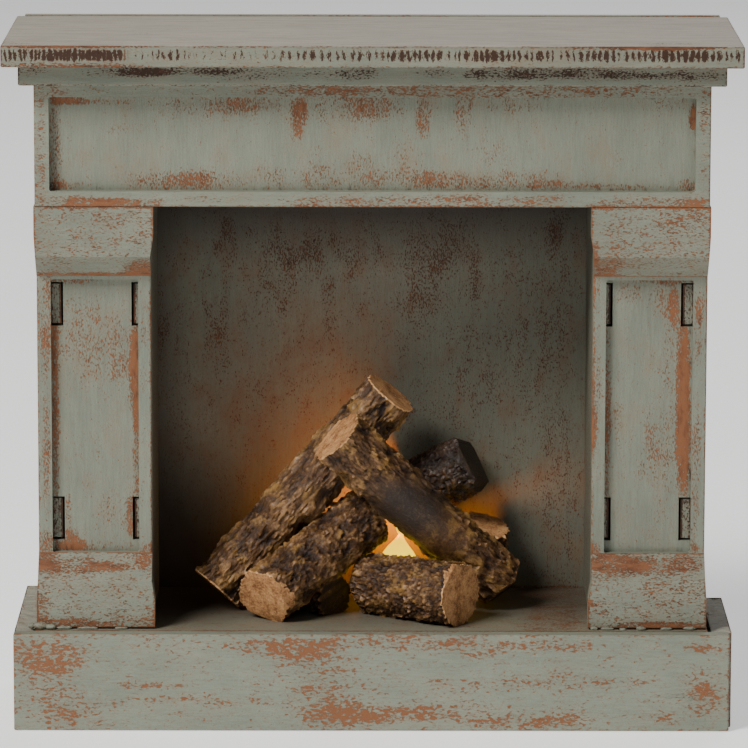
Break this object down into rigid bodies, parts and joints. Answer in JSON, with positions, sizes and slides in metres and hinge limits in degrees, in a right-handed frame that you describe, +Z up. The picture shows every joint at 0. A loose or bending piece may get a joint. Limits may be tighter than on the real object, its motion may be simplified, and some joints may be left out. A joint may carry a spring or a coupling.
{
  "type": "miniature fireplace",
  "caption": "Doll's-house fireplace: boarded mantel and plinth with a firebox, a pile of cast logs and a lift-out LED tealight for the flame.",
  "frame": {"origin": "on the floor, at the middle of the whole piece in X and Y", "axes": "+X along the mantel to the viewer's right, -Y the front, +Z up"},
  "size_m": [0.18, 0.0676, 0.171],
  "materials": {
    "sage_paint": "distressed matt chalk paint over brown undercoat",
    "shelf_paint": "matt chalk paint, streaked along the grain",
    "firebox_paint": "worn matt chalk paint, streaked upright",
    "bare_board": "bare fibreboard",
    "cast_bark": "cast resin bark with sawn pale ends",
    "charred_bark": "cast resin, charred black-brown",
    "tealight_shell": "moulded off-white",
    "switch_black": "moulded black",
    "flame_glow": "translucent lamp flame",
    "led_resin": "clear amber resin",
    "cell_steel": "plain steel can",
    "circuit_green": "green solder mask",
    "contact_metal": "spring strip"
  },
  "bodies": {
    "fireplace": {"base_block_left": "sage_paint", "base_block_right": "sage_paint", "bed_mould": "sage_paint", "capital_left": "sage_paint", "capital_right": "sage_paint", "fireback": "firebox_paint", "firebox_cheek_left": "firebox_paint", "firebox_cheek_right": "firebox_paint", "firebox_soffit": "firebox_paint", "frieze_end_left": "sage_paint", "frieze_end_right": "sage_paint", "frieze_frame": "sage_paint", "frieze_panel": "sage_paint", "hearth_board": "sage_paint", "log_charred": "charred_bark", "log_crossing": "cast_bark", "log_floor_rear": "cast_bark", "log_front_left": "cast_bark", "log_front_short": "cast_bark", "log_rear_long": "cast_bark", "log_right_prop": "cast_bark", "mantel_shelf": "shelf_paint", "pilaster_frame_left": "sage_paint", "pilaster_frame_right": "sage_paint", "pilaster_front_left": "sage_paint", "pilaster_front_right": "sage_paint", "pilaster_inner_wall_left": "bare_board", "pilaster_inner_wall_right": "bare_board", "pilaster_outer_wall_left": "bare_board", "pilaster_outer_wall_right": "bare_board", "plinth_bottom_board": "bare_board", "plinth_core_side_left": "bare_board", "plinth_core_side_right": "bare_board", "plinth_front_board": "sage_paint", "plinth_rear_rail": "bare_board", "plinth_rib_left": "bare_board", "plinth_rib_right": "bare_board", "plinth_side_board_left": "sage_paint", "plinth_side_board_right": "sage_paint", "rear_board": "sage_paint", "shelf_rear_lath": "sage_paint", "side_skin_left": "sage_paint", "side_skin_right": "sage_paint"},
    "tealight": {"tealight_case": "tealight_shell", "tealight_base": "tealight_shell", "flame_diffuser": "flame_glow", "led": "led_resin", "circuit_board": "circuit_green", "coin_cell": "cell_steel", "contact_negative": "contact_metal", "contact_positive": "contact_metal"},
    "switch": {"switch_slider": "switch_black"},
    "battery_cover": {"battery_door": "tealight_shell"}
  },
  "joints": [
    {"name": "tealight_lift_out", "type": "slide", "parent": "fireplace", "child": "tealight", "axis": [0, 0, -1], "range_m": [0, 0.05]},
    {"name": "switch_slide", "type": "slide", "parent": "tealight", "child": "switch", "axis": [1, 0, 0], "range_m": [0, 0.0025]},
    {"name": "battery_door_off", "type": "slide", "parent": "tealight", "child": "battery_cover", "axis": [0, 0, -1], "range_m": [0, 0.015]}
  ]
}
